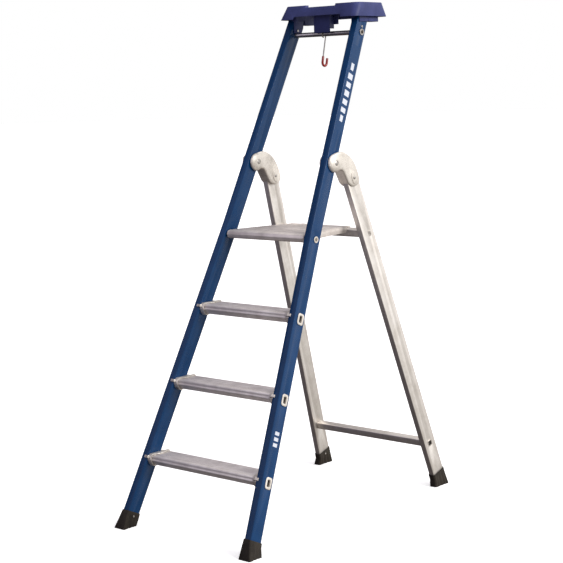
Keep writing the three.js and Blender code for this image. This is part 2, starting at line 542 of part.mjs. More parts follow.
const makeSide = () => {
  const { half, rearHalf, skirt, top } = PLATFORM;
  const plan = polygon([[half, PLATFORM.front], [half, DECK.shoulder], [rearHalf, PLATFORM.rear],
    [rearHalf - skirt, PLATFORM.rear], [half - skirt, DECK.shoulder], [half - skirt, PLATFORM.front]]);
  const profile = new THREE.Shape();
  profile.moveTo(DECK.front - GAP, top);
  profile.lineTo(NOSE.back, top);
  noseCurve(profile);
  profile.lineTo(6, SIDE.low);
  profile.quadraticCurveTo(16, SIDE.low, 26, SIDE.edge);
  profile.lineTo(SIDE.end - 8, SIDE.edge);
  profile.lineTo(SIDE.end, 3);
  profile.lineTo(SIDE.end, top - DECK.thick - GAP);
  profile.lineTo(DECK.front - GAP, top - DECK.thick - GAP);
  return cut(overlap(extrude('z', plan, -20, top + 2), extrude('x', profile, 90, 180)),
    cylinderX(PIVOT_TUBE.radius + GAP, 90, 200, TUBE_Y));
};
pair(platform, 'platform_side', 'aluminium', makeSide());

// Two strips under the deck that run back and turn down behind the upper crossbar.
const HOOK_PLATE = { x: 95, wide: 18, front: 228, back: 290, low: 2, wall: 3 };
const plateTop = PLATFORM.top - DECK.thick - GAP;
const plateUnder = plateTop - HOOK_PLATE.wall;
const hookPlate = extrude('x', polygon([[HOOK_PLATE.front, plateTop], [HOOK_PLATE.back, plateTop],
  [HOOK_PLATE.back, HOOK_PLATE.low], [HOOK_PLATE.back - HOOK_PLATE.wall, HOOK_PLATE.low],
  [HOOK_PLATE.back - HOOK_PLATE.wall, plateUnder], [HOOK_PLATE.front, plateUnder]]),
HOOK_PLATE.x - HOOK_PLATE.wide / 2, HOOK_PLATE.x + HOOK_PLATE.wide / 2);
pair(platform, 'platform_hook', 'aluminium', hookPlate);

// Flared tubes that the platform turns on, each through a stile and a platform side.
const pivotFace = stileOuter(alongStile(PLATFORM.pivotZ, TENON_LINE));
const makePivotTube = () => {
  const { bore, radius, inner, flange } = PIVOT_TUBE;
  const [start, end] = [PLATFORM.half - 5.5, pivotFace + 2.6];
  const rim = 1.4;
  return turnedX([[bore, start], [inner, start], [inner, start + rim], [radius, start + rim],
    [radius, end - rim], [flange, end - rim], [flange, end], [bore, end], [bore, start]], 14);
};
pair(platform, 'platform_pivot', 'steel', makePivotTube().translate(0, TUBE_Y, 0));

// ---------------------------------------------------------------- guard bar
const barGroup = levelGroup(fixingY(BAR.z, BAR_LINE), BAR.z);
const makeBar = () => {
  const { bore, radius, flange } = BAR;
  const end = stileOuter(alongStile(BAR.z, BAR_LINE)) + 2.6;
  const rim = end - 1.4;
  return turnedX([[bore, -end], [flange, -end], [flange, -rim], [radius, -rim], [radius, rim], [flange, rim],
    [flange, end], [bore, end], [bore, -end]], 14);
};
piece(barGroup, 'guard_bar', 'steel', makeBar());

// ---------------------------------------------------------------- tool tray
const top = levelGroup(TOE_Y, 0);       // y is measured from the toe line here
const BINS = { centre: [-52, 52], end: [74, 128], floor: 1650, y: [772, 886] };
const SADDLE = { half: 34, wall: 3, front: 761, back: 785, bottom: 1574, sideBottom: 1586 };
const RIB = { half: 48, y: [789, 792], bottom: 1600 };

const trayLoft = (inset, low, high) => {
  const at = (z) => {
    const t = (z - TRAY.bottom) / (TRAY.top - TRAY.bottom);
    const half = THREE.MathUtils.lerp(TRAY.half, TRAY.topHalf, t) - inset;
    const front = THREE.MathUtils.lerp(TRAY.front, TRAY.topFront, t) + inset;
    const back = THREE.MathUtils.lerp(TRAY.back, TRAY.topBack, t) - inset;
    return ringAt(roundedBox(2 * half, back - front, TRAY.corner - inset, [0, (front + back) / 2]), z, 4);
  };
  return loft([at(low), at(high)]);
};

// Three bins, and a rim that stands up round both ends only.
const trayHollows = () => {
  const above = TRAY.top + 30;
  const [from, to] = BINS.end;
  return [boxAt(BINS.centre, BINS.y, [BINS.floor, above]), boxAt(BINS.end, BINS.y, [BINS.floor, above]),
    boxAt([-to, -from], BINS.y, [BINS.floor, above]), boxAt([-63, 63], [700, 950], [TRAY.low, above]),
    boxAt([-140, 140], BINS.y, [TRAY.low, above])];
};

// Pockets over the stile's top, with a tongue down each of its faces.
const traySockets = (stileNear) => join(boxAt([119.5, 151], [772, 872], [1618, 1650]),
  boxAt([119.5, 152.5], [818, 872], [1604, 1620]),
  overlap(stileNear(-3.8), boxAt([100, 135], [765, 812], [1577, 1649])),
  overlap(stileNear(-2.6), boxAt([140, 162], [770, 822], [1604, 1649])));

const traySaddle = () => {
  const { half, wall, front, back, bottom, sideBottom } = SADDLE;
  const inside = 1649;
  const side = boxAt([half - wall, half], [front, back], [sideBottom, inside]);
  return join(boxAt([-half, half], [front, front + wall], [bottom, inside]), side, mirrored(side),
    boxAt([-RIB.half, RIB.half], RIB.y, [RIB.bottom, inside]));
};

const makeTray = () => {
  const stileNear = (inset) => seenFrom(top, frontFrame,
    stileBar(inset, STILE_FOOT, alongStile(STILE_TOP_Z, 0) + 1));
  const shell = cut(trayLoft(0, TRAY.bottom, TRAY.top), trayLoft(TRAY.wall, TRAY.bottom - 2, 1646));
  const right = traySockets(stileNear);
  const arch = extrude('y', roundedBox(204, 24, 9, [0, 1618]), 700, 765);
  const shaped = cut(shell, arch, ...trayHollows());
  const hole = seenFrom(top, frontFrame, cylinderX(TRAY_RIVET.radius + GAP, -60, 30)
    .applyMatrix4(onStile(TRAY_RIVET.z, TENON_LINE)));
  return cut(join(shaped, right, mirrored(right), traySaddle()), stileNear(-GAP), mirrored(stileNear(-GAP)),
    hole, mirrored(hole), seenFrom(top, barGroup, cylinderX(BAR.radius + 2 * GAP, -160, 160)));
};
piece(top, 'tool_tray', 'tray', makeTray());
const makeTrayRivet = () => {
  const { radius } = TRAY_RIVET;
  const [tail, seat] = [-STILE.thick - 5.6, -STILE.thick - 4.3];
  return turnedX([[0, tail], [4.5, tail], [4.5, seat], [radius, seat], [radius, GAP], [4.6, GAP], [4, 1.6],
    [0, 2.2]], 12).applyMatrix4(onStile(TRAY_RIVET.z, TENON_LINE));
};
pair(frontFrame, 'tray_rivet', 'steel', makeTrayRivet());

// ---------------------------------------------------------------- tool hook
// Wire eye round the guard bar, a straight shank and a dipped U, all in one upright plane.
const HOOK = { x: -6, eye: 10.8, eyeFrom: 262, wire: 2.2, lean: 12.8, shank: 91.7, sleeveFrom: 72.9, bend: 11.2,
  dip: 4, rise: 16.7 };
const tilt = rad(HOOK.lean);
const shankAt = (run) => [HOOK.eye * Math.cos(tilt) - run * Math.sin(tilt),
  -HOOK.eye * Math.sin(tilt) - run * Math.cos(tilt)];
const arc = ([y, z], radius, from, to, count) => Array.from({ length: count + 1 }, (_, i) => {
  const angle = rad(from + ((to - from) * i) / count);
  return [y + radius * Math.cos(angle), z + radius * Math.sin(angle)];
});
const wireAlong = (points, radius, steps) => {
  const bends = points.map(([y, z]) => new THREE.Vector3(HOOK.x, y, z));
  const extrudePath = new THREE.CatmullRomCurve3(bends, false, 'centripetal');
  return new THREE.ExtrudeGeometry(disc(radius), { extrudePath, steps, curveSegments: 4, bevelEnabled: false });
};
const wirePoints = [...arc([0, 0], HOOK.eye, HOOK.eyeFrom, -HOOK.lean, 16), shankAt(25), shankAt(50),
  shankAt(HOOK.sleeveFrom + 8)];
piece(barGroup, 'hook_wire', 'steel', wireAlong(wirePoints, HOOK.wire, 32));

const makeSleeve = () => {
  const [y, z] = shankAt(HOOK.shank);
  const centre = [y + HOOK.bend * Math.cos(tilt), z - HOOK.bend * Math.sin(tilt)];
  const bend = arc(centre, HOOK.bend, 180 - HOOK.lean, 360 - HOOK.lean, 12);
  const [endY, endZ] = bend.at(-1);
  const tipAt = (run) => [endY + run * Math.sin(tilt), endZ + run * Math.cos(tilt)];
  const path = [shankAt(HOOK.sleeveFrom), shankAt((HOOK.sleeveFrom + HOOK.shank) / 2), ...bend,
    tipAt(HOOK.rise / 2), tipAt(HOOK.rise)];
  const bore = [-5, 2, 8.5].map((run) => shankAt(HOOK.sleeveFrom + run));
  return cut(wireAlong(path, HOOK.dip, 26), wireAlong(bore, HOOK.wire + GAP, 2));
};
piece(barGroup, 'hook_sleeve', 'red', makeSleeve());

export default ladder;
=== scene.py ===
# %% [markdown]
# # A platform step ladder, finished in Blender
# The frame of this ladder is already designed: every tube, tread, casting and rivet arrives
# with its real place and size. What is left is what a hand would see and feel: rounded
# edges, sand-cast skins, brushed and powder-coated surfaces, dipped wire and moulded grain.
# The lesson goes from the camera and the light to the finishes, and then piece by piece
# up the ladder.

# %% Load the frame
import json
import math

import bpy
from mathutils import Matrix, Vector

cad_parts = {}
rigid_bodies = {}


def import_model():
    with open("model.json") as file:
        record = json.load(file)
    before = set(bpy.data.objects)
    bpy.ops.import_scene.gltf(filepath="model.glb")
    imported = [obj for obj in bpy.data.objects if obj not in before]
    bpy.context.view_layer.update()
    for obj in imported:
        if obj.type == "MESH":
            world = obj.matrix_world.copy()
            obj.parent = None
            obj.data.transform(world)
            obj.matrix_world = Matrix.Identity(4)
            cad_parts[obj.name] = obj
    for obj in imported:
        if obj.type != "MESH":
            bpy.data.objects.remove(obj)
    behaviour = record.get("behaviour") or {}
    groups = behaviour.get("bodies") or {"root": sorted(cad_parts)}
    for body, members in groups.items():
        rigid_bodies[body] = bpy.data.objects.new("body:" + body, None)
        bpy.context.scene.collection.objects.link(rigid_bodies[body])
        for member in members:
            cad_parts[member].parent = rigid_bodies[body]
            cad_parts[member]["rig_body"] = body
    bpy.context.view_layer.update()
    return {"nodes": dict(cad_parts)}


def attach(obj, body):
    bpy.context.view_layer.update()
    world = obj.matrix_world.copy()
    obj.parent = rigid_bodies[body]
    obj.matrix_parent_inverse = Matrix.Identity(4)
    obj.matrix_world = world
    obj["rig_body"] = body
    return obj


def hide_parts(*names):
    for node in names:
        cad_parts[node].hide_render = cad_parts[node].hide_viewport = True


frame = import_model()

nodes = frame["nodes"]
MM = 0.001
print("pieces in the frame:", len(nodes))

# %% [markdown]
# ## Camera
# A long lens from just above the platform's height shows the ladder three-quarter from its
# right, with upright lines that stay almost parallel. The aim is a point between the feet
# at mid-height, and the camera leans a little to its side, as a hand-held one does.

# %% Camera
CAMERA_PLACE = Vector((3.1484, -3.6915, 1.4076))
CAMERA_LOOK = Vector((-0.6626, 0.7371, -0.1327)).normalized()
CAMERA_ROLL = math.radians(-1.656)
LENS_MM = 94.6
SHIFT = (0.0615, 0.0029)

level_right = CAMERA_LOOK.cross(Vector((0, 0, 1))).normalized()
level_up = level_right.cross(CAMERA_LOOK)
right = level_right * math.cos(CAMERA_ROLL) + level_up * math.sin(CAMERA_ROLL)
up = level_up * math.cos(CAMERA_ROLL) - level_right * math.sin(CAMERA_ROLL)
lens = bpy.data.cameras.new("studio_camera")
lens.lens = LENS_MM
lens.sensor_width = 36
lens.shift_x, lens.shift_y = SHIFT
camera = bpy.data.objects.new("studio_camera", lens)
turned = Matrix((right, up, -CAMERA_LOOK)).transposed().to_4x4()
camera.matrix_world = Matrix.Translation(CAMERA_PLACE) @ turned
bpy.context.scene.collection.objects.link(camera)
bpy.context.scene.camera = camera
print("camera at", [round(v, 3) for v in CAMERA_PLACE], "lens", LENS_MM, "mm")

# %% [markdown]
# ## Studio light and floor
# Metal only looks like metal when it has something to mirror. The surroundings are a soft
# box: bright on the ladder's right and rear, dim lilac in front, and brown below, so that
# outer faces shine while fronts and undersides go dark. A wide key sun stands on the right
# and a weak cool fill in front. The floor is a plain pale disc that takes the shadows.

# %% A small helper for node materials
def new_tree(owner):
    owner.use_nodes = True
    owner.node_tree.nodes.clear()
    return owner.node_tree


def add_node(tree, kind, **settings):
    node = tree.nodes.new(kind)
    for key, value in settings.items():
        setattr(node, key, value)
    return node


def join(tree, source, target):
    tree.links.new(source, target)


def ramp(tree, factor, stops):
    node = add_node(tree, "ShaderNodeValToRGB")
    elements = node.color_ramp.elements
    while len(elements) < len(stops):
        elements.new(0.5)
    for element, (place, colour) in zip(elements, stops):
        element.position = place
        element.color = (*colour, 1)
    join(tree, factor, node.inputs["Fac"])
    return node.outputs["Color"]


# %% Surroundings
SIDE_DIRECTION = (0.80, 0.60, 0.0)
HEIGHT_STOPS = [(0.0, (0.20, 0.17, 0.14)), (0.25, (0.34, 0.31, 0.28)), (0.45, (0.85, 0.84, 0.83)),
                (0.55, (1.0, 1.0, 1.0)), (1.0, (0.85, 0.84, 0.90))]
SIDE_STOPS = [(0.0, (0.13, 0.12, 0.16)), (0.2, (0.16, 0.15, 0.18)), (0.46, (0.42, 0.40, 0.38)),
              (0.75, (0.80, 0.79, 0.78)), (1.0, (1.0, 1.0, 1.0))]
SIDE_GAIN = 1.1

world = bpy.data.worlds.new("studio")
bpy.context.scene.world = world
tree = new_tree(world)
direction = add_node(tree, "ShaderNodeTexCoord").outputs["Generated"]
apart = add_node(tree, "ShaderNodeSeparateXYZ")
join(tree, direction, apart.inputs[0])
height = add_node(tree, "ShaderNodeMapRange")
join(tree, apart.outputs["Z"], height.inputs["Value"])
height.inputs["From Min"].default_value = -1
side_dot = add_node(tree, "ShaderNodeVectorMath", operation="DOT_PRODUCT")
join(tree, direction, side_dot.inputs[0])
side_dot.inputs[1].default_value = SIDE_DIRECTION
side = add_node(tree, "ShaderNodeMapRange")
join(tree, side_dot.outputs["Value"], side.inputs["Value"])
side.inputs["From Min"].default_value = -1
glow = add_node(tree, "ShaderNodeMix", data_type="RGBA", blend_type="MULTIPLY")
glow.inputs["Factor"].default_value = 1
join(tree, ramp(tree, height.outputs["Result"], HEIGHT_STOPS), glow.inputs["A"])
join(tree, ramp(tree, side.outputs["Result"], SIDE_STOPS), glow.inputs["B"])
around = add_node(tree, "ShaderNodeBackground")
around.inputs["Strength"].default_value = SIDE_GAIN
join(tree, glow.outputs["Result"], around.inputs["Color"])
paper = add_node(tree, "ShaderNodeBackground")
paper.inputs["Color"].default_value = (1, 1, 1, 1)
seen = add_node(tree, "ShaderNodeLightPath")
choice = add_node(tree, "ShaderNodeMixShader")
join(tree, seen.outputs["Is Camera Ray"], choice.inputs["Fac"])
join(tree, around.outputs[0], choice.inputs[1])
join(tree, paper.outputs[0], choice.inputs[2])
join(tree, choice.outputs[0], add_node(tree, "ShaderNodeOutputWorld").inputs["Surface"])
bpy.context.scene.view_settings.view_transform = "Standard"
print("surroundings made of", len(tree.nodes), "nodes")


# %% Suns
def sun(name, towards, strength, colour, wide):
    data = bpy.data.lights.new(name, "SUN")
    data.energy = strength
    data.color = colour
    data.angle = math.radians(wide)
    lamp = bpy.data.objects.new(name, data)
    lamp.rotation_mode = "QUATERNION"
    lamp.rotation_quaternion = Vector(towards).to_track_quat("Z", "Y")
    bpy.context.scene.collection.objects.link(lamp)


sun("key_right", (0.85, 0.12, 0.50), 2.2, (1.0, 0.97, 0.93), 30)
sun("fill_front", (-0.35, -0.95, 0.45), 0.5, (0.86, 0.82, 1.0), 60)
sun("overhead", (0.05, 0.35, 1.0), 0.7, (1.0, 0.99, 0.97), 60)
print("lamps:", [lamp.name for lamp in bpy.data.lights])

# %% Floor
bpy.ops.object.select_all(action="DESELECT")
FLOOR_RADIUS = 60
JUST_BELOW = -0.0005
bpy.ops.mesh.primitive_circle_add(vertices=96, radius=FLOOR_RADIUS, fill_type="NGON",
                                  location=(0, 0, JUST_BELOW))
floor = bpy.context.object
floor.name = "floor"
floor.visible_glossy = False
floor.visible_diffuse = False
floor_paint = bpy.data.materials.new("pale_floor")
tree = new_tree(floor_paint)
matte = add_node(tree, "ShaderNodeBsdfPrincipled")
matte.inputs["Base Color"].default_value = (0.93, 0.93, 0.93, 1)
matte.inputs["Roughness"].default_value = 0.9
matte.inputs["Emission Color"].default_value = (1, 1, 1, 1)
matte.inputs["Emission Strength"].default_value = 0.45
join(tree, matte.outputs[0], add_node(tree, "ShaderNodeOutputMaterial").inputs["Surface"])
floor.data.materials.append(floor_paint)
print("floor radius", round(floor.dimensions.x / 2, 1), "m")


# %% [markdown]
# ## Finishes
# Every finish starts from the same recipe. A pattern in the object's own coordinates drives
# three things at once: a slight change of tone, a change of roughness, and a bump. The
# pattern is turned to follow the part's axis and pulled long along it, which makes drawn
# lines on extrusions, or it is left even in all directions, which makes cast skin, moulded
# grain or orange peel in lacquer. A second, slower pattern adds handling wear and dust.

# %% Finish recipe
FRONT_LEAN = math.radians(25.33)
REAR_LEAN = math.radians(18.56)
WEAR_SCALE = 22.0
TONE_RANGE = (0.36, 0.62)
GLOSS_RANGE = (0.3, 0.7)
SHARE = 0.5


def surface(name, tones, roughness, metallic, grain, lean=0.0, bump=0.1, relief=0.1, specular=0.5, coat=0.0):
    """tones: dark and light colour; roughness: low and high; grain: pattern size along each axis in mm."""
    material = bpy.data.materials.new(name)
    material.diffuse_color = (*tones[1], 1)
    tree = new_tree(material)
    shader = add_node(tree, "ShaderNodeBsdfPrincipled")
    place = add_node(tree, "ShaderNodeMapping", vector_type="TEXTURE")
    place.inputs["Rotation"].default_value = (lean, 0, 0)
    place.inputs["Scale"].default_value = [size * MM for size in grain]
    coordinates = add_node(tree, "ShaderNodeTexCoord").outputs["Object"]
    join(tree, coordinates, place.inputs["Vector"])
    fine = add_node(tree, "ShaderNodeTexNoise")
    fine.inputs["Scale"].default_value = 1.0
    fine.inputs["Detail"].default_value = 4.0
    join(tree, place.outputs["Vector"], fine.inputs["Vector"])
    slow = add_node(tree, "ShaderNodeTexNoise")
    slow.inputs["Scale"].default_value = WEAR_SCALE
    slow.inputs["Detail"].default_value = 6.0
    join(tree, coordinates, slow.inputs["Vector"])
    both = add_node(tree, "ShaderNodeMath", operation="MULTIPLY_ADD")
    join(tree, slow.outputs["Fac"], both.inputs[0])
    both.inputs[1].default_value = SHARE
    half = add_node(tree, "ShaderNodeMath", operation="MULTIPLY")
    join(tree, fine.outputs["Fac"], half.inputs[0])
    half.inputs[1].default_value = SHARE
    join(tree, half.outputs[0], both.inputs[2])
    tone = ramp(tree, both.outputs[0], list(zip(TONE_RANGE, tones)))
    join(tree, tone, shader.inputs["Base Color"])
    gloss = add_node(tree, "ShaderNodeMapRange")
    join(tree, both.outputs[0], gloss.inputs["Value"])
    gloss.inputs["From Min"].default_value = GLOSS_RANGE[0]
    gloss.inputs["From Max"].default_value = GLOSS_RANGE[1]
    gloss.inputs["To Min"].default_value = roughness[1]
    gloss.inputs["To Max"].default_value = roughness[0]
    join(tree, gloss.outputs["Result"], shader.inputs["Roughness"])
    skin = add_node(tree, "ShaderNodeBump")
    skin.inputs["Strength"].default_value = bump
    skin.inputs["Distance"].default_value = relief * MM
    join(tree, fine.outputs["Fac"], skin.inputs["Height"])
    join(tree, skin.outputs["Normal"], shader.inputs["Normal"])
    shader.inputs["Metallic"].default_value = metallic
    shader.inputs["Specular IOR Level"].default_value = specular
    shader.inputs["Coat Weight"].default_value = coat
    shader.inputs["Coat Roughness"].default_value = 0.12
    join(tree, shader.outputs[0], add_node(tree, "ShaderNodeOutputMaterial").inputs["Surface"])
    return material


# %% Finishes of the ladder
ALONG_X = (180, 0.9, 0.9)
ALONG_Z = (0.9, 0.9, 180)
EVEN = (1.6, 1.6, 1.6)
FINISHES = {
    "lacquer": surface("blue_lacquer", ((0.003, 0.036, 0.118), (0.005, 0.047, 0.150)), (0.20, 0.32), 0.0,
                       EVEN, -FRONT_LEAN, 0.25, 0.05, 0.22, 0.08),
    "tread": surface("tread_aluminium", ((0.64, 0.59, 0.57), (0.95, 0.90, 0.88)), (0.32, 0.46), 0.35,
                     ALONG_X, 0, 0.35, 0.08),
    "platform": surface("deck_aluminium", ((0.60, 0.55, 0.51), (0.94, 0.87, 0.82)), (0.34, 0.5), 0.35,
                        ALONG_X, 0, 0.35, 0.08),
    "leg": surface("satin_aluminium", ((0.62, 0.58, 0.53), (0.84, 0.80, 0.76)), (0.34, 0.48), 0.8,
                   ALONG_Z, REAR_LEAN, 0.3, 0.06),
    "casting": surface("cast_aluminium", ((0.56, 0.52, 0.47), (0.92, 0.87, 0.80)), (0.36, 0.58), 0.6,
                       (2.4, 2.4, 2.4), 0, 0.6, 0.25),
    "tray": surface("violet_moulding", ((0.028, 0.036, 0.130), (0.048, 0.060, 0.200)), (0.38, 0.55), 0.0,
                    (1.1, 1.1, 1.1), 0, 0.6, 0.12, 0.3),
    "rubber": surface("foot_rubber", ((0.010, 0.008, 0.006), (0.034, 0.027, 0.020)), (0.55, 0.8), 0.0,
                      (2.0, 2.0, 2.0), 0, 0.7, 0.2, 0.25),
    "steel": surface("zinc_steel", ((0.30, 0.28, 0.26), (0.60, 0.57, 0.54)), (0.2, 0.36), 0.95,
                     ALONG_X, 0, 0.2, 0.04),
    "red_dip": surface("red_vinyl", ((0.30, 0.010, 0.006), (0.46, 0.018, 0.010)), (0.16, 0.26), 0.0,
                       (3.0, 3.0, 3.0), 0, 0.25, 0.15, 0.5, 0.4),
    "nylon": surface("white_nylon", ((0.60, 0.57, 0.50), (0.76, 0.73, 0.66)), (0.4, 0.55), 0.0,
                     EVEN, 0, 0.2, 0.05),
    "film": surface("label_film", ((0.003, 0.037, 0.120), (0.005, 0.048, 0.152)), (0.16, 0.24), 0.0,
                    EVEN, 0, 0.1, 0.02, 0.3),
    # painted shade: this near-black finish colours the thin plates set inside the tenon mouths, where the
    # open tubes would only hold shade
    "dark": surface("painted_shade_plate", ((0.010, 0.008, 0.007), (0.026, 0.021, 0.018)), (0.6, 0.8), 0.0,
                    EVEN, 0, 0.3, 0.1, 0.2),
    "print": surface("label_print", ((0.60, 0.64, 0.72), (0.74, 0.78, 0.86)), (0.3, 0.42), 0.0,
                     EVEN, 0, 0.15, 0.03, 0.3),
}
print("finishes:", sorted(FINISHES))


# %% [markdown]
# ## Keeping the designed shapes, and easing their edges
# A sharp corner of a real part is never sharp. Each piece is copied, its flat faces are
# joined up again, and a narrow bevel is laid along every edge. A wide bevel suits mouldings
# and rubber, a narrow one suits drawn tube. On the knuckles a wide bevel throws up spikes, so
# they get a narrow one too.

# %% Refine the pieces of the frame
SAME_POINT = 1e-6
FLAT_BELOW = 0.4
SMOOTH_BELOW = 38


def deselect():
    bpy.ops.object.select_all(action="DESELECT")


def only(obj):
    deselect()
    obj.select_set(True)
    bpy.context.view_layer.objects.active = obj


def bevelled(obj, width, segments, angle, clamp=True):
    only(obj)
    bevel = obj.modifiers.new("edge", "BEVEL")
    bevel.width = width * MM
    bevel.segments = segments
    bevel.limit_method = "ANGLE"
    bevel.angle_limit = math.radians(angle)
    bevel.use_clamp_overlap = clamp
    bpy.ops.object.modifier_apply(modifier=bevel.name)


def settle(obj, node, finish_name):
    only(obj)
    bpy.ops.object.shade_smooth_by_angle(angle=math.radians(SMOOTH_BELOW))
    obj.data.materials.clear()
    obj.data.materials.append(FINISHES[finish_name])
    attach(obj, nodes[node]["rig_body"])
    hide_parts(node)


def refined(node, finish_name, edge):
    obj = bpy.data.objects.new(f"{node}_finished", nodes[node].data.copy())
    bpy.context.scene.collection.objects.link(obj)
    only(obj)
    bpy.ops.mesh.customdata_custom_splitnormals_clear()
    bpy.ops.object.mode_set(mode="EDIT")
    bpy.ops.mesh.select_all(action="SELECT")
    bpy.ops.mesh.remove_doubles(threshold=SAME_POINT)
    bpy.ops.mesh.dissolve_limited(angle_limit=math.radians(FLAT_BELOW))
    bpy.ops.object.mode_set(mode="OBJECT")
    bevelled(obj, edge, 2, 20, clamp=False)
    settle(obj, node, finish_name)


KINDS = {"stile": "lacquer", "step": "casting", "front": "rubber", "rear": "rubber", "upper": "leg",
         "lower": "leg", "knuckle": "casting", "platform": "platform", "tool": "tray"}
EDGES = {"lacquer": 0.5, "tread": 0.3, "platform": 0.4, "leg": 0.5, "casting": 0.6, "tray": 0.9,
         "rubber": 0.8, "steel": 0.2}
KNUCKLE_EDGE = 0.2
TURNED = ("guard_bar", "platform_pivot", "knuckle_pin", "leg_rivet", "pivot_washer", "hook_")


def kind_of(name):
    if name.endswith("tread"):
        return "tread"
    if name.startswith("rear_leg"):
        return "leg"
    if "rivet" in name:
        return "steel"
    return KINDS[name.split("_")[0]]


for name in sorted(nodes):
    if not name.startswith(TURNED):
        kind = kind_of(name)
        refined(name, kind, KNUCKLE_EDGE if name.startswith("knuckle") else EDGES[kind])
print("refined:", sum(not name.startswith(TURNED) for name in nodes))

# %% [markdown]
# ## Turned pieces
# Pins, rivets, washers and tubes are all rings pushed along an axis. A circle is the first
# ring. Each step pushes the last ring on and scales it to its new radius. A piece with a
# hole comes back to its first ring, and doubled points are merged there.

# %% Turning
def place_of(node):
    corners = [Vector(corner) for corner in nodes[node].bound_box]
    low = [min(corner[i] for corner in corners) for i in range(3)]
    high = [max(corner[i] for corner in corners) for i in range(3)]
    return low, high


def close_mesh():
    """Ends the edit of a mesh: doubled points merged, faces turned outwards."""
    bpy.ops.mesh.select_all(action="SELECT")
    bpy.ops.mesh.remove_doubles(threshold=SAME_POINT)
    bpy.ops.mesh.normals_make_consistent(inside=False)
    bpy.ops.object.mode_set(mode="OBJECT")


def turn(node, profile, finish_name, solid):
    """profile: (radius, distance along X) of each ring, in mm, for a piece on an axis along X."""
    low, high = place_of(node)
    y, z = (low[1] + high[1]) / 2, (low[2] + high[2]) / 2
    first_radius, first_x = profile[0]
    deselect()
    fill = "NGON" if solid else "NOTHING"
    bpy.ops.mesh.primitive_circle_add(vertices=48, radius=first_radius * MM, fill_type=fill,
                                      location=(first_x * MM, y, z), rotation=(0, math.pi / 2, 0))
    obj = bpy.context.object
    obj.name = f"{node}_turned"
    bpy.ops.object.transform_apply(location=True, rotation=True, scale=True)
    bpy.ops.object.mode_set(mode="EDIT")
    for (before, start), (after, end) in zip(profile, profile[1:]):
        bpy.ops.mesh.extrude_region_move(TRANSFORM_OT_translate={"value": ((end - start) * MM, 0, 0)})
        bpy.ops.transform.resize(value=(1, after / before, after / before), center_override=(end * MM, y, z))
    close_mesh()
    bevelled(obj, 0.15, 2, 25)
    settle(obj, node, finish_name)


def headed(start, end, radius, head):
    """Rings of a pin with a domed head at both ends."""
    rise = HEAD_RISE
    dome = [(head * 0.55, 0), (head * 0.85, rise * 0.3), (head, rise * 0.75), (head, rise), (radius, rise)]
    first = [(size, start + along) for size, along in dome]
    return first + [(size, end - along) for size, along in reversed(dome)]


def tube(start, end, bore, radius, flanges):
    """Rings of a tube, with a thin flange of its own radius at each end."""
    first, last = flanges
    ease, lip = 0.4, 0.5
    return [(bore, start), (first - ease, start), (first, start + lip), (first, start + FLANGE),
            (radius, start + FLANGE), (radius, end - FLANGE), (last, end - FLANGE), (last, end - lip),
            (last - ease, end), (bore, end), (bore, start)]


def ends_of(node):
    """Where a node starts and ends along X, in mm."""
    low, high = place_of(node)
    return low[0] / MM, high[0] / MM


# %% Pins, rivets and washers
PIN, PIN_HEAD = 5, 8
RIVET, RIVET_HEAD = 3, 5.5
WASHER_BORE, WASHER = 5.3, 12
HEAD_RISE = 2.1
for side in ("left", "right"):
    turn(f"knuckle_pin_{side}", headed(*ends_of(f"knuckle_pin_{side}"), PIN, PIN_HEAD), "steel", True)
    turn(f"leg_rivet_{side}", headed(*ends_of(f"leg_rivet_{side}"), RIVET, RIVET_HEAD), "steel", True)
    for where in ("outer", "inner"):
        start, end = ends_of(f"pivot_washer_{where}_{side}")
        rings = [(WASHER_BORE, start), (WASHER, start), (WASHER, end), (WASHER_BORE, end),
                 (WASHER_BORE, start)]
        turn(f"pivot_washer_{where}_{side}", rings, "nylon", False)
print("pins, rivets and washers turned")

# %% Platform tubes and guard bar
TUBE_BORE, TUBE_RADIUS = 6, 8
FLANGE = 1.4
OUTER_FLANGE, INNER_FLANGE, BAR_FLANGE = 10.5, 10, 11
for side, flanges in (("left", (OUTER_FLANGE, INNER_FLANGE)), ("right", (INNER_FLANGE, OUTER_FLANGE))):
    name = f"platform_pivot_{side}"
    turn(name, tube(*ends_of(name), TUBE_BORE, TUBE_RADIUS, flanges), "casting", False)
low, high = place_of("guard_bar")
bar_centre = Vector((0, (low[1] + high[1]) / 2, (low[2] + high[2]) / 2))
bar_rings = tube(*ends_of("guard_bar"), TUBE_BORE, TUBE_RADIUS, (BAR_FLANGE, BAR_FLANGE))
turn("guard_bar", bar_rings, "steel", False)
print("guard bar", round((high[0] - low[0]) / MM), "mm long")

# %% [markdown]
# ## Tool hook
# The hook is one bent wire with a dipped end. A ring of the wire's size is spun round the
# guard bar to make the eye, and pushed on along the shank. The red sleeve starts inside its
# own bore, opens out at the mouth, runs down, turns half round and rises to its tip.

# %% Hook sizes and helpers
HOOK_X = -6
LEAN = math.radians(12.8)
EYE_FROM = math.radians(262)
EYE, WIRE, SLEEVE, BEND = 10.8, 2.2, 4.0, 11.2
WIRE_RUN, MOUTH_RUN, BORE_RUN, SLEEVE_RUN, TIP_RUN = 80.9, 72.9, 8.5, 18.8, 16.7
BORE = WIRE + 0.3
DOWN = Vector((0, -math.sin(LEAN), -math.cos(LEAN)))
SHANK_TOP = bar_centre + Vector((HOOK_X, EYE * math.cos(LEAN), -EYE * math.sin(LEAN))) * MM


def ring_at(name, radius, centre, turn_about_x):
    deselect()
    bpy.ops.mesh.primitive_circle_add(vertices=24, radius=radius * MM, fill_type="NGON", location=centre,
                                      rotation=(turn_about_x, 0, 0))
    obj = bpy.context.object
    obj.name = name
    bpy.ops.object.transform_apply(location=True, rotation=True, scale=True)
    bpy.ops.object.mode_set(mode="EDIT")
    return obj


def push(offset):
    bpy.ops.mesh.extrude_region_move(TRANSFORM_OT_translate={"value": tuple(offset)})


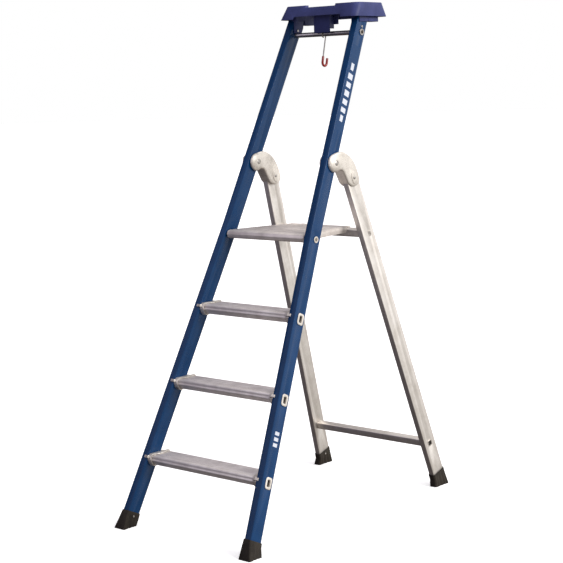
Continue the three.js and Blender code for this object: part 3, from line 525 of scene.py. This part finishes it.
def close_bent(obj, node, finish_name):
    close_mesh()
    bevelled(obj, 0.7, 3, 50)
    settle(obj, node, finish_name)
    print(obj.name, [round(v / MM, 1) for v in obj.dimensions], "mm")


# %% Hook wire
eye_start = bar_centre + Vector((HOOK_X, EYE * math.cos(EYE_FROM), EYE * math.sin(EYE_FROM))) * MM
wire = ring_at("hook_wire_bent", WIRE, eye_start, EYE_FROM)
bpy.ops.mesh.spin(steps=44, angle=EYE_FROM + LEAN, center=bar_centre + Vector((HOOK_X * MM, 0, 0)),
                  axis=(1, 0, 0))
push(DOWN * WIRE_RUN * MM)
close_bent(wire, "hook_wire", "steel")

# %% Hook sleeve
mouth = SHANK_TOP + DOWN * MOUTH_RUN * MM
bend_start = mouth + DOWN * SLEEVE_RUN * MM
bend_centre = bend_start + Vector((0, math.cos(LEAN), -math.sin(LEAN))) * BEND * MM
sleeve = ring_at("hook_sleeve_dipped", BORE, mouth + DOWN * BORE_RUN * MM, -LEAN)
push(DOWN * -BORE_RUN * MM)
push((0, 0, 0))
bpy.ops.transform.resize(value=(SLEEVE / BORE,) * 3, center_override=tuple(mouth))
push(DOWN * SLEEVE_RUN * MM)
bpy.ops.mesh.spin(steps=24, angle=-math.pi, center=bend_centre, axis=(1, 0, 0))
push(DOWN * -TIP_RUN * MM)
close_bent(sleeve, "hook_sleeve", "red_dip")

# %% [markdown]
# ## Label films
# Two films lie on the outer face of the right stile, with plain pale bars where print would
# be. Each is a thin box laid in the stile's own plane: it leans with the stile and follows
# its taper.

# %% Planes of the stiles and legs
TOE_Y, HEEL_Y = -539.0, 535.5
STILE_DEPTH = 51.2
STILE_HALF, TAPER, UPPER_TAPER = 281.5, 0.0842, 0.0572
LEG_HALF, LEG_TAPER = 270.7, 0.0754
FIXING = 37.3


def station(height, behind):
    """Distance along the stile of a point at a height and a level distance behind its front."""
    return height / math.cos(FRONT_LEAN) + behind * math.sin(FRONT_LEAN)


KINK = station(948, FIXING)


def on_stile(along, depth):
    """A frame on the right stile's outer face: x outwards, y into its depth, z along it."""
    outer = STILE_HALF - TAPER * min(along, KINK) - UPPER_TAPER * max(along - KINK, 0)
    cant = math.atan(TAPER if along < KINK else UPPER_TAPER)
    place = Matrix.Translation((outer * MM, depth * MM, along * MM)) @ Matrix.Rotation(-cant, 4, "Y")
    return Matrix.Translation((0, TOE_Y * MM, 0)) @ Matrix.Rotation(-FRONT_LEAN, 4, "X") @ place


def on_leg(height, depth):
    """The same on the right leg's outer face, for a point at a height above the floor."""
    along = (height - depth * math.sin(REAR_LEAN)) / math.cos(REAR_LEAN)
    outer = LEG_HALF - LEG_TAPER * along
    cant = math.atan(LEG_TAPER)
    place = Matrix.Translation((outer * MM, depth * MM, along * MM)) @ Matrix.Rotation(-cant, 4, "Y")
    return Matrix.Translation((0, HEEL_Y * MM, 0)) @ Matrix.Rotation(REAR_LEAN, 4, "X") @ place


def plate(name, place, size, lift, finish_name, body, side=1):
    """A thin box on a face: size is (thickness, depth, length), and side -1 mirrors it to the left."""
    deselect()
    bpy.ops.mesh.primitive_cube_add(size=1)
    obj = bpy.context.object
    obj.name = name
    box = Matrix.Diagonal((*[length * MM for length in size], 1))
    raised = Matrix.Translation(((lift + size[0] / 2) * MM, 0, 0))
    obj.matrix_world = Matrix.Diagonal((side, 1, 1, 1)) @ place @ raised @ box
    bpy.ops.object.transform_apply(location=True, rotation=True, scale=True)
    bpy.ops.object.mode_set(mode="EDIT")
    close_mesh()
    obj.data.materials.append(FINISHES[finish_name])
    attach(obj, body)


# %% Labels
MIDDLE = STILE_DEPTH / 2
BEHIND = MIDDLE / math.cos(FRONT_LEAN)
FILM, INK = 0.12, 0.08
MAIN_HEIGHT, LOW_HEIGHT = 1389, 331
BARS = [(1292, 26, 15), (1318, 20, 24), (1344, 22, 24), (1371, 24, 24), (1398, 22, 24), (1425, 24, 24),
        (1456, 30, 15)]
BAR_SHARE = 0.82


def label(name, along, wide, long, lift, finish_name):
    thick = INK if lift else FILM
    plate(name, on_stile(along, MIDDLE), (thick, wide, long), lift, finish_name, "front_frame")


label("label_main_film", station(MAIN_HEIGHT, BEHIND), 40, 300, 0, "film")
for number, (height, long, wide) in enumerate(BARS):
    label(f"label_main_bar_{number}", station(height, BEHIND), wide, long * BAR_SHARE, FILM, "print")
low_spot = station(LOW_HEIGHT, BEHIND)
label("label_low_film", low_spot, 34, 60, 0, "film")
for number, along in enumerate((-18, 0, 18)):
    label(f"label_low_bar_{number}", low_spot + along, 20, 11, FILM, "print")
print("bars on the main label:", len(BARS))

# %% [markdown]
# ## Painted shade in the tenon mouths
# Each flared tenon is the mouth of an unlit tube. A thin near-black plate a few millimetres inside the mouth
# is painted shade:
# it stands in for the darkness deep in the tube, on the stiles for the treads and on the legs for the
# crossbars.

# %% Painted shade plates inside the mouths
TENON_BEHIND = 32
FIRST_STEP, STEP_PITCH = 207, 235
SINK = -3.4
THICK = 0.8
STEP_MOUTH, UPPER_MOUTH, LOWER_MOUTH = (13.2, 21.2), (4.6, 12.6), (17, 17)
CROSSBARS = {"upper": (on_leg(910.5, -22.5), UPPER_MOUTH), "lower": (on_leg(159, -29.8), LOWER_MOUTH)}
# each plate made below is painted shade, a near-black sheet where the tube would only be in shade
for side, word in ((1, "right"), (-1, "left")):
    for step in range(3):
        along = station(FIRST_STEP + STEP_PITCH * step, TENON_BEHIND)
        spot = on_stile(along, TENON_BEHIND * math.cos(FRONT_LEAN))
        plate(f"step_{step + 1}_hollow_{word}", spot, (THICK, *STEP_MOUTH), SINK, "dark", "front_frame", side)
    for bar, (spot, mouth_size) in CROSSBARS.items():
        plate(f"{bar}_crossbar_hollow_{word}", spot, (THICK, *mouth_size), SINK, "dark", "rear_frame", side)
print("hollows on each side:", 3 + len(CROSSBARS))
